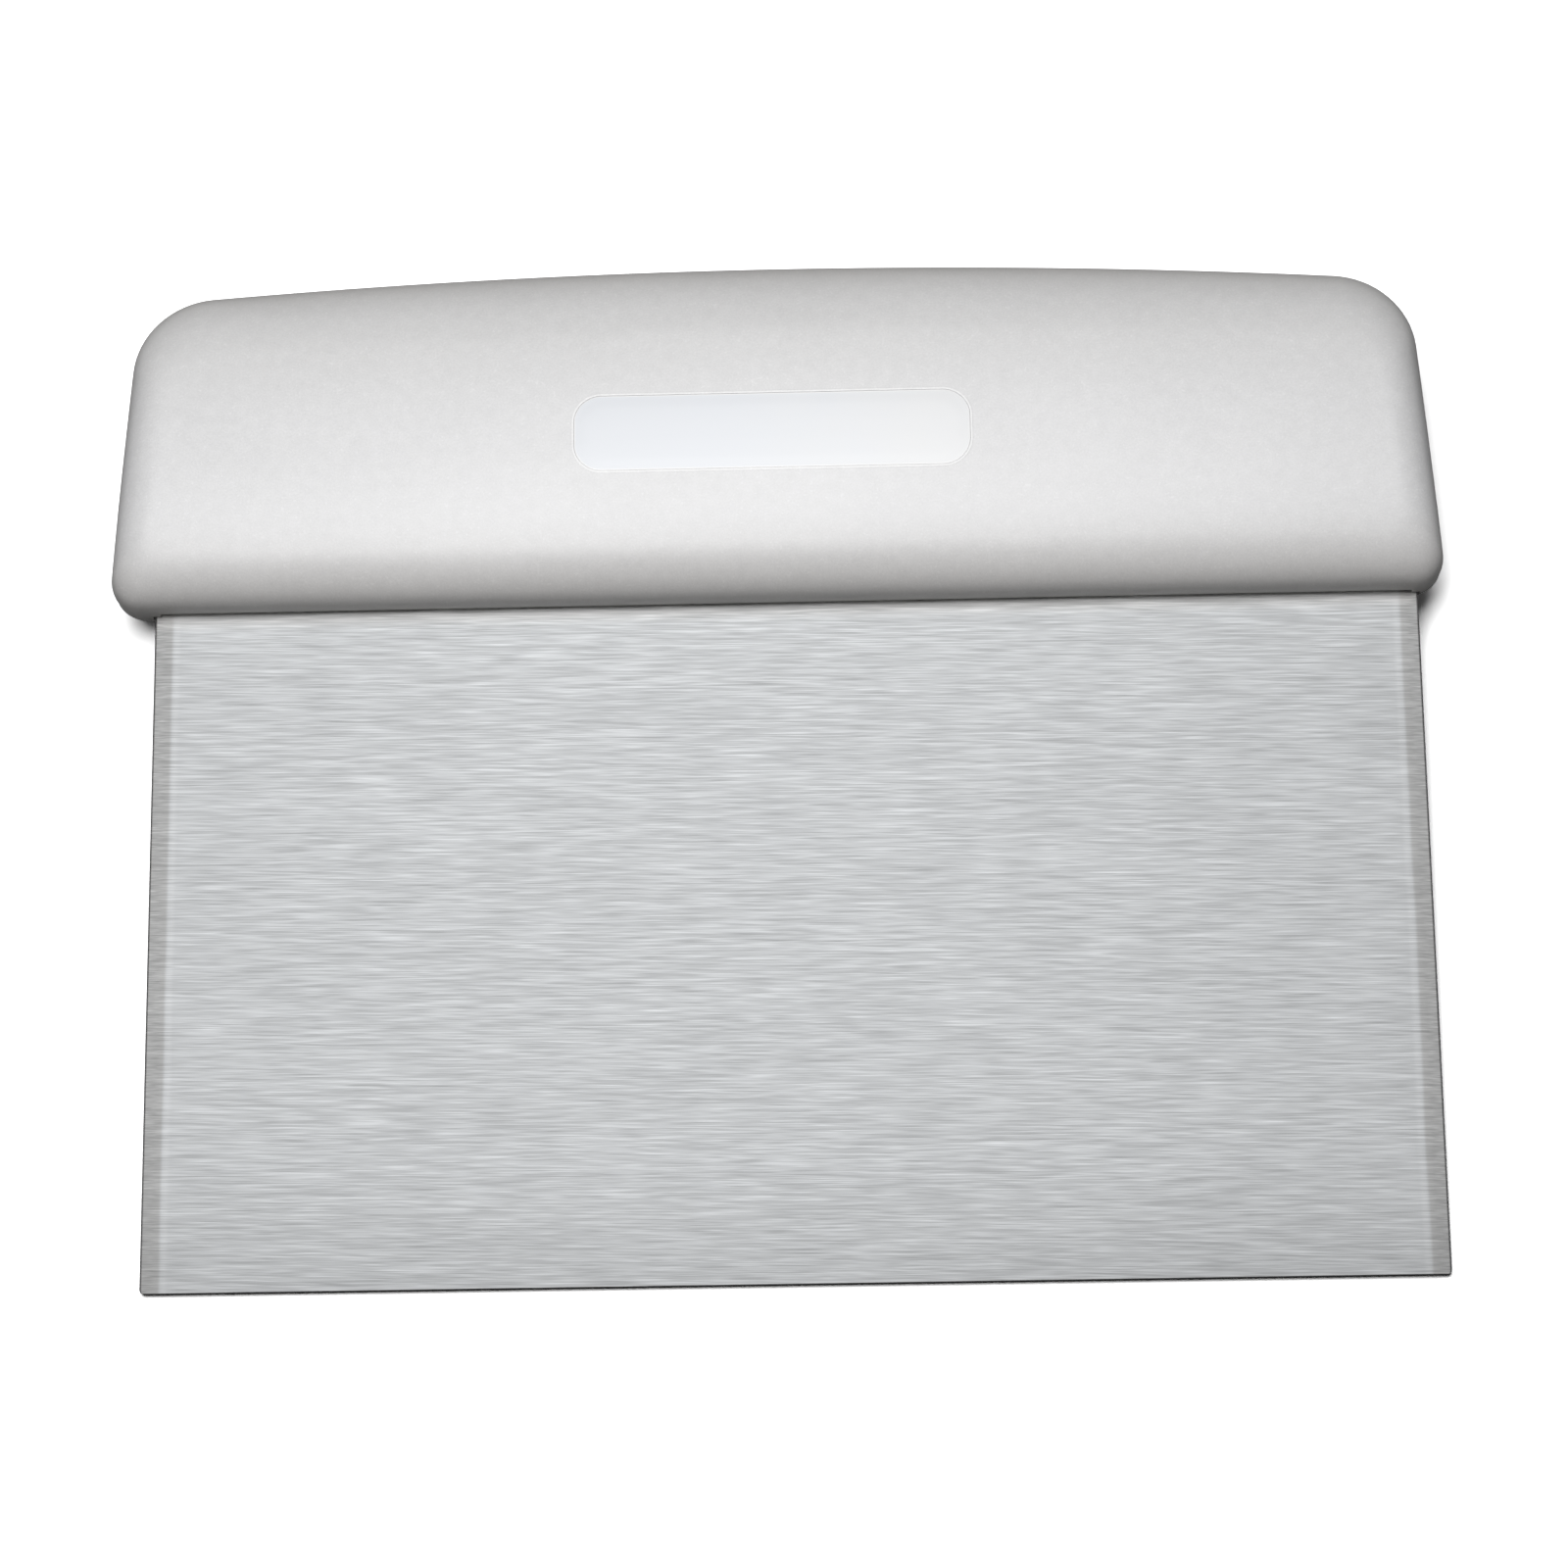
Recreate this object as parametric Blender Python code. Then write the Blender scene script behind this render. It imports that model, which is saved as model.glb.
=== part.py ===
"""Dough scraper: a stainless blade whose tang is held in a moulded handle with a blank label plate.

Metres, +Z up. Each piece is drawn flat, in the blade's own frame: X runs along the scraping edge,
Y = 0 is the line where the blade enters the handle, Z = 0 is the middle of the blade's thickness.
The whole scraper then lies on its back on Z = 0, resting on the blade's edge and the handle's back.
"""

import math

import bmesh
import bpy
from mathutils import Matrix, Vector

# Blade
BLADE_WIDTH = 0.1524
BLADE_EXPOSED = 0.0817
BLADE_THICKNESS = 0.0012
BLADE_CORNER_RADIUS = 0.0006
BLADE_EDGE_BREAK = 0.00012
BLADE_SHIFT = 0.0010  # the blade sits this far to the right of the handle's middle
RELIEF_WIDTH = 0.0021  # shallow ground band along each side of the blade
RELIEF_DEPTH = 0.00012

# Tang, the part of the blade inside the handle, and the plastic that locks it there
SHOULDER_DEPTH = 0.0080  # full blade width goes this far into the handle
TANG_DEPTH = 0.0280
TANG_INSET = 0.0080  # the tang is narrower than the blade by this much at each side
TANG_CORNER_RADIUS = 0.0030
TANG_TAPER = 0.00005  # each face of the tang falls away by this much over its depth
LOCK_COUNT = 5
LOCK_MARGIN = 0.0182  # from the blade's side to the nearest lock hole's centre
LOCK_HOLE_RADIUS = 0.0045
LOCK_LINE = 0.0150  # height of the holes' centres above the blade's entry line

# Handle
HANDLE_OVERHANG = 0.00386  # past each side of a centred blade
HANDLE_HEIGHT = 0.0427
HANDLE_THICKNESS = 0.0180
HANDLE_CROWN = 0.0018  # how far each broad face bulges above the end of its edge rounding
LOWER_ROUNDING = 0.0070  # width of the rounded band along the blade side, in the handle's outline
UPPER_ROUNDING = 0.0110  # the same along the top
END_ROUNDING = 0.0058  # the same along the two ends
LOWER_BAND = 0.0020  # height of the straight side in front of the parting plane, along the blade
UPPER_BAND = 0.0004  # the same along the top; on the ends it runs from one to the other
LOWER_FULLNESS = 2.8  # of the front rounding's section along the blade: 2 is an ellipse, more squarer
UPPER_FULLNESS = 2.0  # the same along the top
BACK_FULLNESS = 2.0  # the back's rounding starts right at the parting plane
LOWER_CORNER_RADIUS = 0.0035
UPPER_CORNER_RADIUS = 0.0104
SIDE_LEAN = math.radians(3.75)
TOP_ARCH_RADIUS = 0.945

# Label plate, inlaid in the front of the handle
LABEL_WIDTH = 0.0475
LABEL_HEIGHT = 0.0094
LABEL_CORNER_RADIUS = 0.0033
LABEL_CENTRE_HEIGHT = 0.0195
LABEL_THICKNESS = 0.0008
LABEL_SUNK = 0.00035  # below the highest line of the handle's front
LABEL_EDGE_BREAK = 0.00015

SQUARE_EDGE_ANGLE = math.radians(50)  # edges that turn less than this are left as they are
CLEARANCE = 0.0003
CUT_PAST = 0.0050  # how far a cutter runs past the face that it opens

# Mesh fineness
FLAT_STEPS = 12
CORNER_STEPS = 6
SIDE_STEPS = 4
ROUNDING_STEPS = 8
CROWN_STEPS = 4
CIRCLE_SIDES = 24
SMOOTH_ANGLE = math.radians(35)
MERGE_DISTANCE = 1e-6
SETTLING_ROUNDS = 3


def clear_scene():
    for obj in list(bpy.data.objects):
        bpy.data.objects.remove(obj, do_unlink=True)


def material(name, colour, roughness, metallic=0.0):
    made = bpy.data.materials.new(name)
    made.use_nodes = True
    shader = made.node_tree.nodes["Principled BSDF"]
    shader.inputs["Base Color"].default_value = (*colour, 1.0)
    shader.inputs["Roughness"].default_value = roughness
    shader.inputs["Metallic"].default_value = metallic
    return made


def add_object(name, bm, root, finish=None):
    """Turns a bmesh into an object that hangs on the root empty."""
    bmesh.ops.recalc_face_normals(bm, faces=bm.faces)
    mesh = bpy.data.meshes.new(name)
    bm.to_mesh(mesh)
    bm.free()
    obj = bpy.data.objects.new(name, mesh)
    bpy.context.scene.collection.objects.link(obj)
    obj.parent = root
    if finish is not None:
        mesh.materials.append(finish)
        mesh.shade_smooth()
        mesh.set_sharp_from_angle(angle=SMOOTH_ANGLE)
    return obj


def add_cutter(name, bm, root):
    cutter = add_object(name, bm, root)
    cutter.hide_render = True
    cutter.display_type = "WIRE"
    return cutter


def cut(obj, cutter):
    """Takes the cutter's shape out of the object."""
    boolean = obj.modifiers.new(cutter.name, "BOOLEAN")
    boolean.operation = "DIFFERENCE"
    boolean.object = cutter


def break_edges(obj, width):
    """A narrow chamfer along the object's square edges."""
    bevel = obj.modifiers.new("edge_break", "BEVEL")
    bevel.width = width
    bevel.segments = 1
    bevel.limit_method = "ANGLE"
    bevel.angle_limit = SQUARE_EDGE_ANGLE


def prism(outline, low, high):
    """A closed solid over an outline in XY, from height low to height high."""
    bm = bmesh.new()
    base = bm.faces.new([bm.verts.new((x, y, low)) for x, y in outline])
    lifted = bmesh.ops.extrude_face_region(bm, geom=[base])["geom"]
    verts = [item for item in lifted if isinstance(item, bmesh.types.BMVert)]
    bmesh.ops.translate(bm, verts=verts, vec=(0, 0, high - low))
    return bm


def arc(centre, radius, start, end, steps):
    angles = [start + (end - start) * i / steps for i in range(steps + 1)]
    return [(centre[0] + radius * math.cos(a), centre[1] + radius * math.sin(a)) for a in angles]


def rounded_rectangle(centre, width, height, radius):
    """Outline of a rectangle with round corners, anticlockwise from its lower right corner."""
    points = []
    for quarter, (side_x, side_y) in enumerate([(1, -1), (1, 1), (-1, 1), (-1, -1)]):
        corner = (
            centre[0] + side_x * (width / 2 - radius),
            centre[1] + side_y * (height / 2 - radius),
        )
        start = math.pi / 2 * (quarter - 1)
        points += arc(corner, radius, start, start + math.pi / 2, CORNER_STEPS)
    return points


def lock_centres():
    """Centres of the lock holes, evenly spaced along the tang, in the blade's frame."""
    last = BLADE_WIDTH / 2 - LOCK_MARGIN
    pitch = 2 * last / (LOCK_COUNT - 1)
    return [(-last + pitch * i, LOCK_LINE) for i in range(LOCK_COUNT)]


def lock_cylinders(radius, half_height):
    """One round bar through the thickness at each lock hole's place."""
    bm = bmesh.new()
    for x, y in lock_centres():
        bmesh.ops.create_cone(
            bm,
            cap_ends=True,
            segments=CIRCLE_SIDES,
            radius1=radius,
            radius2=radius,
            depth=2 * half_height,
            matrix=Matrix.Translation((x, y, 0)),
        )
    return bm


def blade_outline(low, grow):
    """The blade and its narrower tang in plan, from height low upwards, larger all round by grow."""
    side = BLADE_WIDTH / 2 + grow
    tang_side = side - TANG_INSET
    shoulder = SHOULDER_DEPTH + grow
    lower = (side - BLADE_CORNER_RADIUS, low + BLADE_CORNER_RADIUS)
    upper = (tang_side - TANG_CORNER_RADIUS, TANG_DEPTH + grow - TANG_CORNER_RADIUS)
    right = arc(lower, BLADE_CORNER_RADIUS, -math.pi / 2, 0, CORNER_STEPS)
    right += [(side, shoulder), (tang_side, shoulder)]
    right += arc(upper, TANG_CORNER_RADIUS, 0, math.pi / 2, CORNER_STEPS)
    return right + [(-x, y) for x, y in reversed(right)]


def blade_plate():
    """The flat blade with its tang: a plate ground thinner at its two sides and along the tang."""
    half_thickness = BLADE_THICKNESS / 2
    flat_half = BLADE_WIDTH / 2 - RELIEF_WIDTH
    bm = prism(blade_outline(-BLADE_EXPOSED, 0.0), -half_thickness, half_thickness)
    along_x = (1, 0, 0)
    along_y = (0, 1, 0)
    taper_start = -CLEARANCE
    for point, normal in (
        ((flat_half, 0, 0), along_x),
        ((-flat_half, 0, 0), along_x),
        ((0, taper_start, 0), along_y),
    ):
        geometry = bm.verts[:] + bm.edges[:] + bm.faces[:]
        bmesh.ops.bisect_plane(bm, geom=geometry, plane_co=point, plane_no=normal)
    for vert in bm.verts:
        into_side = max(0.0, abs(vert.co.x) - flat_half) / RELIEF_WIDTH
        into_tang = max(0.0, vert.co.y - taper_start) / (TANG_DEPTH - taper_start)
        ground = RELIEF_DEPTH * into_side + TANG_TAPER * into_tang
        vert.co.z -= math.copysign(ground, vert.co.z)
    return bm


def build_blade(root):
    steel = material("brushed_stainless", (0.60, 0.61, 0.62), 0.35, 1.0)
    blade = add_object("blade", blade_plate(), root, steel)
    holes = add_cutter(
        "lock_hole_cutter", lock_cylinders(LOCK_HOLE_RADIUS, BLADE_THICKNESS), root
    )
    blade.location.x = BLADE_SHIFT
    holes.location.x = BLADE_SHIFT
    break_edges(blade, BLADE_EDGE_BREAK)
    cut(blade, holes)
    return blade


def handle_half_width():
    return BLADE_WIDTH / 2 + HANDLE_OVERHANG


def rounded_share():
    """How much of the way from the handle's outline to its ridge line the edge rounding takes."""
    return (LOWER_ROUNDING + UPPER_ROUNDING) / HANDLE_HEIGHT


def ridge_height():
    """Height in plan of the ridge line, where the handle is thickest."""
    return LOWER_ROUNDING / rounded_share()


def crown(x, y):
    """How far a broad face bulges at a point: an arch from bottom to top, the same all along it."""
    span = ridge_height()
    if y > ridge_height():
        span = HANDLE_HEIGHT - TOP_ARCH_RADIUS + math.sqrt(TOP_ARCH_RADIUS**2 - x**2) - ridge_height()
    return HANDLE_CROWN * (1 - ((y - ridge_height()) / span) ** 2)


def handle_half_outline():
    """Right half of the handle's outline, from the middle of its bottom to the middle of its top.

    Each point comes with how far along the ridge line, from its middle 0 to its end 1, it belongs.
    """
    lower = Vector((handle_half_width() - LOWER_CORNER_RADIUS, LOWER_CORNER_RADIUS))
    side_normal = Vector((math.cos(SIDE_LEAN), math.sin(SIDE_LEAN)))
    side_along = Vector((-math.sin(SIDE_LEAN), math.cos(SIDE_LEAN)))
    arch_centre = Vector((0, HANDLE_HEIGHT - TOP_ARCH_RADIUS))
    # The upper corner's circle touches the leaning side and, from inside, the top arch.
    reach = side_normal.dot(lower) + LOWER_CORNER_RADIUS - UPPER_CORNER_RADIUS
    start = side_normal * reach - arch_centre
    half = side_along.dot(start)
    inner_radius = TOP_ARCH_RADIUS - UPPER_CORNER_RADIUS
    step = -half + math.sqrt(half**2 + inner_radius**2 - start.length_squared)
    upper = side_normal * reach + side_along * step
    arch_start = math.atan2(upper.y - arch_centre.y, upper.x)

    bottom = [(lower.x * i / FLAT_STEPS, 0.0) for i in range(FLAT_STEPS)]
    lower_arc = arc(lower, LOWER_CORNER_RADIUS, -math.pi / 2, SIDE_LEAN, CORNER_STEPS)
    upper_arc = arc(upper, UPPER_CORNER_RADIUS, SIDE_LEAN, arch_start, CORNER_STEPS)
    foot = Vector(lower_arc[-1])
    rise = Vector(upper_arc[0]) - foot
    side = [tuple(foot + rise * i / SIDE_STEPS) for i in range(1, SIDE_STEPS)]
    top = arc(arch_centre, TOP_ARCH_RADIUS, arch_start, math.pi / 2, FLAT_STEPS)[1:]
    shares = [i / FLAT_STEPS for i in range(FLAT_STEPS)]
    corner_points = lower_arc + side + upper_arc
    return list(
        zip(
            bottom + corner_points + top,
            shares + [1.0] * len(corner_points) + shares[::-1],
        )
    )


def handle_rings(has_band):
    """The rings of points on one side of the parting plane, up to the ridge line.

    Each is how far round the edge rounding it is, and its share of the way over the broad face.
    """
    first = 0 if has_band else 1
    rings = [(math.pi / 2 * i / ROUNDING_STEPS, 0.0) for i in range(first, ROUNDING_STEPS)]
    return rings + [(math.pi / 2, i / CROWN_STEPS) for i in range(CROWN_STEPS + 1)]


def handle_body():
    """The handle's outer form: every ring is the outline drawn in towards a straight ridge line.

    A half's section is its side, the band's height and the rounding's fullness, each of these at
    the handle's bottom and at its top.
    """
    half = handle_half_outline()
    mirrored = [((-x, y), -share) for (x, y), share in half[-2:0:-1]]
    outline = half + mirrored
    edge = rounded_share()
    ridge_half = handle_half_width() - END_ROUNDING / edge
    bm = bmesh.new()

    def ring(face_sign, bands, fullness, turn, across):
        verts = []
        for point, share in outline:
            upward = point[1] / HANDLE_HEIGHT
            band = bands[0] + (bands[1] - bands[0]) * upward
            power = 2 / (fullness[0] + (fullness[1] - fullness[0]) * upward)
            drawn_in = edge * (1 - math.cos(turn) ** power) + (1 - edge) * across
            inner = Vector(point).lerp((ridge_half * share, ridge_height()), drawn_in)
            face_height = HANDLE_THICKNESS / 2 - HANDLE_CROWN + crown(*inner)
            z = band + (face_height - band) * math.sin(turn) ** power
            verts.append(bm.verts.new((*inner, face_sign * z)))
        return verts

    front = (1, (LOWER_BAND, UPPER_BAND), (LOWER_FULLNESS, UPPER_FULLNESS))
    back = (-1, (0.0, 0.0), (BACK_FULLNESS, BACK_FULLNESS))
    parting = [bm.verts.new((*point, 0.0)) for point, _ in outline]
    for section in (front, back):
        below = parting
        for turn, across in handle_rings(section is front):
            above = ring(*section, turn, across)
            for i in range(len(outline)):
                j = (i + 1) % len(outline)
                bm.faces.new((below[i], below[j], above[j], above[i]))
            below = above
    bmesh.ops.remove_doubles(bm, verts=bm.verts, dist=MERGE_DISTANCE)
    return bm


def tang_slot(root):
    """The space that the tang and its clearance take up in the handle, crossed by the lock posts."""
    half_thickness = BLADE_THICKNESS / 2 + CLEARANCE
    outline = blade_outline(-CUT_PAST, CLEARANCE)
    slot = add_cutter("tang_slot_cutter", prism(outline, -half_thickness, half_thickness), root)
    posts = add_cutter(
        "lock_post_guide",
        lock_cylinders(LOCK_HOLE_RADIUS - CLEARANCE, BLADE_THICKNESS + CLEARANCE),
        root,
    )
    slot.location.x = BLADE_SHIFT
    posts.location.x = BLADE_SHIFT
    cut(slot, posts)
    return slot


def label_face_height():
    return HANDLE_THICKNESS / 2 - LABEL_SUNK


def build_handle(root):
    plastic = material("white_handle_plastic", (0.80, 0.80, 0.79), 0.55)
    handle = add_object("handle", handle_body(), root, plastic)
    recess_outline = rounded_rectangle(
        (0, LABEL_CENTRE_HEIGHT), LABEL_WIDTH, LABEL_HEIGHT, LABEL_CORNER_RADIUS
    )
    recess_floor = label_face_height() - LABEL_THICKNESS - CLEARANCE
    recess = add_cutter(
        "label_recess_cutter",
        prism(recess_outline, recess_floor, HANDLE_THICKNESS / 2 + CUT_PAST),
        root,
    )
    cut(handle, tang_slot(root))
    cut(handle, recess)
    return handle


def build_label_plate(root):
    gloss = material("white_label_plate", (0.86, 0.88, 0.90), 0.18)
    outline = rounded_rectangle(
        (0, LABEL_CENTRE_HEIGHT),
        LABEL_WIDTH - 2 * CLEARANCE,
        LABEL_HEIGHT - 2 * CLEARANCE,
        LABEL_CORNER_RADIUS - CLEARANCE,
    )
    top = label_face_height()
    plate = add_object("label_plate", prism(outline, top - LABEL_THICKNESS, top), root, gloss)
    break_edges(plate, LABEL_EDGE_BREAK)
    return plate


def world_points(obj):
    evaluated = obj.evaluated_get(bpy.context.evaluated_depsgraph_get())
    mesh = evaluated.to_mesh()
    points = [evaluated.matrix_world @ vertex.co for vertex in mesh.vertices]
    evaluated.to_mesh_clear()
    return points


def lie_on_back(root, blade, handle):
    """Tips the scraper until its blade edge and the handle's back both touch Z = 0, and centres it."""
    blade_points = world_points(blade)
    handle_points = world_points(handle)
    tilt = 0.0
    for _ in range(SETTLING_ROUNDS):
        edge = min(blade_points, key=lambda p: p.y * math.sin(tilt) + p.z * math.cos(tilt))
        tilt = max(math.atan2(edge.z - p.z, p.y - edge.y) for p in handle_points)
    turn = Matrix.Rotation(tilt, 4, "X")
    placed = [turn @ point for point in blade_points + handle_points]
    middle_x = (min(p.x for p in placed) + max(p.x for p in placed)) / 2
    middle_y = (min(p.y for p in placed) + max(p.y for p in placed)) / 2
    root.rotation_euler = (tilt, 0, 0)
    root.location = (-middle_x, -middle_y, -min(p.z for p in placed))


def main():
    clear_scene()
    root = bpy.data.objects.new("scraper_root", None)
    bpy.context.scene.collection.objects.link(root)
    blade = build_blade(root)
    handle = build_handle(root)
    build_label_plate(root)
    lie_on_back(root, blade, handle)


main()
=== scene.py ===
"""Dough scraper lying on its back on a white table, seen from its front under one softbox.

Metres. Pieces are drawn flat, as the solids are: X along the scraping edge, Y = 0 where the blade
enters the handle, Z = 0 in the middle of the blade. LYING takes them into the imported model's frame.
"""

import math

import bmesh
import bpy
from mathutils import Euler, Matrix, Vector
from mathutils.bvhtree import BVHTree


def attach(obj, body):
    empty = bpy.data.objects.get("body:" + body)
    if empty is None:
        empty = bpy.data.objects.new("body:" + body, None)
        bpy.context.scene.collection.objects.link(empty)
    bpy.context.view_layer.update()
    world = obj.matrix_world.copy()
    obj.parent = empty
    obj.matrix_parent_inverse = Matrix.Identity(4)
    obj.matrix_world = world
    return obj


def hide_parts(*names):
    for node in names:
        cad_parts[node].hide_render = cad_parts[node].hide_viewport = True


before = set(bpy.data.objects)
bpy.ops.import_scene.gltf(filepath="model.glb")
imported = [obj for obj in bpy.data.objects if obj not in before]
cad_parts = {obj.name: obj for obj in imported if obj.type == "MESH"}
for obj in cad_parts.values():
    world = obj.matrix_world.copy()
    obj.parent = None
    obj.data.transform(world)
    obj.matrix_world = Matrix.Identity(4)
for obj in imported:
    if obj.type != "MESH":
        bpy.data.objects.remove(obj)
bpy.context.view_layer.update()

# How the scraper lies: on its blade's edge and on the handle's back
LYING_TILT = math.radians(5.064037)
LYING_OFFSET = (0.0, 0.0194451, 0.0077987)

# Blade
BLADE_WIDTH = 0.1524
BLADE_EXPOSED = 0.0817
BLADE_THICKNESS = 0.0012
BLADE_CORNER_RADIUS = 0.0006
BLADE_EDGE_ROUNDING = 0.00013
BLADE_SHIFT = 0.0010  # its middle line lies this far right of the handle's
RELIEF_WIDTH = 0.0021  # of the ground band along each side
RELIEF_DEPTH = 0.00012
RELIEF_SOFT_SHARE = 0.3  # share of the ground band over which it turns away from the flat
FLAT_HALF_WIDTH = BLADE_WIDTH / 2 - RELIEF_WIDTH
SHOULDER_DEPTH = 0.0080
TANG_DEPTH = 0.0280
TANG_INSET = 0.0080
TANG_CORNER_RADIUS = 0.0030
TANG_TAPER = 0.00005  # each face falls away by this much towards the tang's end
LOCK_COUNT = 5
LOCK_MARGIN = 0.0182  # from the blade's side to the middle of the first lock hole
LOCK_HOLE_RADIUS = 0.0045
LOCK_LINE = 0.0150  # height of the row of lock holes

# Handle
HANDLE_HALF_WIDTH = 0.08006  # at its lower corners, where it is widest
HANDLE_HEIGHT = 0.0427
HANDLE_THICKNESS = 0.0180
HANDLE_CROWN = 0.0018
LOWER_ROUNDING = 0.0070
UPPER_ROUNDING = 0.0110
END_ROUNDING = 0.0058
# Share of the way in from the outline to the ridge line that the edge rounding takes
ROUNDED_SHARE = (LOWER_ROUNDING + UPPER_ROUNDING) / HANDLE_HEIGHT
RIDGE_HEIGHT = LOWER_ROUNDING / ROUNDED_SHARE
RIDGE_HALF_LENGTH = HANDLE_HALF_WIDTH - END_ROUNDING / ROUNDED_SHARE
# At the bottom and top edges: the straight band in front of the parting plane, and how full the
# rounding's section is (2 is an ellipse, and more is squarer). The back has no band.
LOWER_BAND, UPPER_BAND = 0.0020, 0.0004
LOWER_FULLNESS, UPPER_FULLNESS = 2.8, 2.0
BACK_FULLNESS = 2.0
LOWER_CORNER_RADIUS = 0.0035
UPPER_CORNER_RADIUS = 0.0104
SIDE_LEAN = math.radians(3.75)
TOP_ARCH_RADIUS = 0.945
PARTING_PROUD = 0.00005  # the mould's parting line stands this far out of the outline
PARTING_HALF_HEIGHT = 0.00012
PARTING_SHOULDER = 0.8  # share of its reach that it has at half of that height
SLOT_CLEARANCE = 0.00025
MOUTH_HEIGHT = 0.0014  # shadow gap between the handle's lip and the blade's front
MOUTH_DEPTH = 0.0010
MOUTH_END_MARGIN = 0.0008  # the gap stops this far inside the blade's sides
MOUTH_CORNER_RADIUS = 0.0006

# Label plate and the bead round its recess
LABEL_WIDTH = 0.0475
LABEL_HEIGHT = 0.0094
LABEL_CORNER_RADIUS = 0.0033
LABEL_CENTRE_HEIGHT = 0.0195
LABEL_THICKNESS = 0.0008
LABEL_PROUD = 0.00001  # its middle above the handle's front, which it follows
LABEL_SEAM = 0.00002
LABEL_EDGE_ROUNDING = 0.00004
LABEL_DOME = 0.00002  # the middle stands this much above the rim
LABEL_DOME_WIDTH = 0.0016
BEAD_HALF_WIDTH = 0.00020
BEAD_HEIGHT = 0.00003
BEAD_ROOT = 0.0004
CUT_INTO_BEAD = 0.00005  # the recess takes this much off the bead's inner side

# Mesh fineness
FLAT_STEPS = 64
CORNER_STEPS = 16
SIDE_STEPS = 16
ROUNDING_STEPS = 24
CROWN_STEPS = 20
CIRCLE_SIDES = 48
BEAD_STEPS = 8
DOME_STEPS = 12
ACROSS_STEPS = 5
EDGE_STEPS = 4
BEVEL_STEPS = 3
BEVEL_ANGLE = math.radians(50)
SMOOTH_ANGLE = math.radians(35)
MERGE_DISTANCE = 1e-6
CUT_PAST = 0.0050  # cuts start this far outside what they cut

# Looks, with linear colours. A FADE is the two places between which one tone gives way to the next.
# A SWING is how far a noise takes the shade or a place, from its lowest value to its highest.

# Brushed steel: on the flat; in the ground bands, their finish darkened as painted reflection; a
# painted highlight along their inner sides; painted light next to the handle's lip; painted shade
# on the sides and on the scraping edge
STEEL_FLAT = (0.655, 0.666, 0.675)
STEEL_BAND_FINISH_AND_SHADE = (0.605, 0.606, 0.604)
STEEL_FRINGE_HIGHLIGHT = (0.77, 0.776, 0.782)
STEEL_LIP_PAINTED_LIGHT = (0.85, 0.84, 0.825)
STEEL_SIDE_PAINTED_SHADE = (0.20, 0.20, 0.20)
STEEL_SCRAPING_EDGE_SHADE = (0.05, 0.05, 0.05)
BAND_FADE = (FLAT_HALF_WIDTH - 0.0004, FLAT_HALF_WIDTH + 0.0001)
BAND_SWING = 0.0006
# Painted highlight along the bands' inner sides
FRINGE_HIGHLIGHT_LINE = FLAT_HALF_WIDTH - 0.0007
FRINGE_HIGHLIGHT_REACH = 0.0006
FRINGE_HIGHLIGHT_SHARE = 0.25
# Painted light on the steel next to the handle's lip, over the shade that falls under it
LIP_LIGHT_FADE = (-0.0022, -0.0003)
LIP_LIGHT_SHARE = 0.5
# Painted shade along the blade's sides
SIDE_LINE_SHADE_FADE = (BLADE_WIDTH / 2 - 0.00030, BLADE_WIDTH / 2 - 0.00014)
# Painted shade on the scraping edge
SCRAPING_EDGE_SHADE_FADE = (0.00016 - BLADE_EXPOSED, 0.00002 - BLADE_EXPOSED)
TOWARDS_EDGE_FADE = (-0.066, -0.086)  # the steel darkens a little towards the scraping edge
TOWARDS_EDGE_LOSS = 0.10
GRAIN_LEAN = 0.017  # rise of the grain across the blade, towards the left
GRAIN_WAVE_SCALE = (60, 220, 60)
GRAIN_WAVE_SWING = 0.00015
# Streaks from broad to fine: scale along and across them, detail, and swing
STREAKS = ((90, 2600, 2.0, 0.08), (150, 4500, 1.0, 0.47), (200, 7600, 1.0, 0.66))
STREAK_ROUGHNESS = 0.6
STEEL_CLOUD_SCALE = (14, 40, 14)
STEEL_CLOUD_SWING = 0.05
STEEL_ROUGHNESS = 0.715
STREAKS_ROUGHEN = 0.05
BAND_ROUGHENS = 0.05
BROAD_BUMP_SHARE = 0.5
STEEL_BUMP_STRENGTH = 0.13
STEEL_BUMP_HEIGHT = 0.00002

# Moulded plastic: painted shade by the lip, its own colour in the middle, painted shade near the
# top and round the parting line. Speckle, mottle, cloud and glint are settings of noises.
PLASTIC_LOW_PAINTED_SHADE = (0.704, 0.692, 0.684)
PLASTIC_MIDDLE = (0.782, 0.780, 0.785)
PLASTIC_HIGH_PAINTED_SHADE = (0.732, 0.728, 0.727)
PLASTIC_PARTING_PAINTED_SHADE = (0.50, 0.485, 0.468)
# Painted highlight on the crest of the bead round the label, and along the label plate's edge
RIM_HIGHLIGHT = (0.92, 0.92, 0.92)
# Heights over which the painted shade by the lip gives way, and the painted shade near the top sets
# in
LOW_SHADE_FADE = (0.0005, 0.0100)
HIGH_SHADE_FADE = (0.0200, 0.0330)
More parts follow.
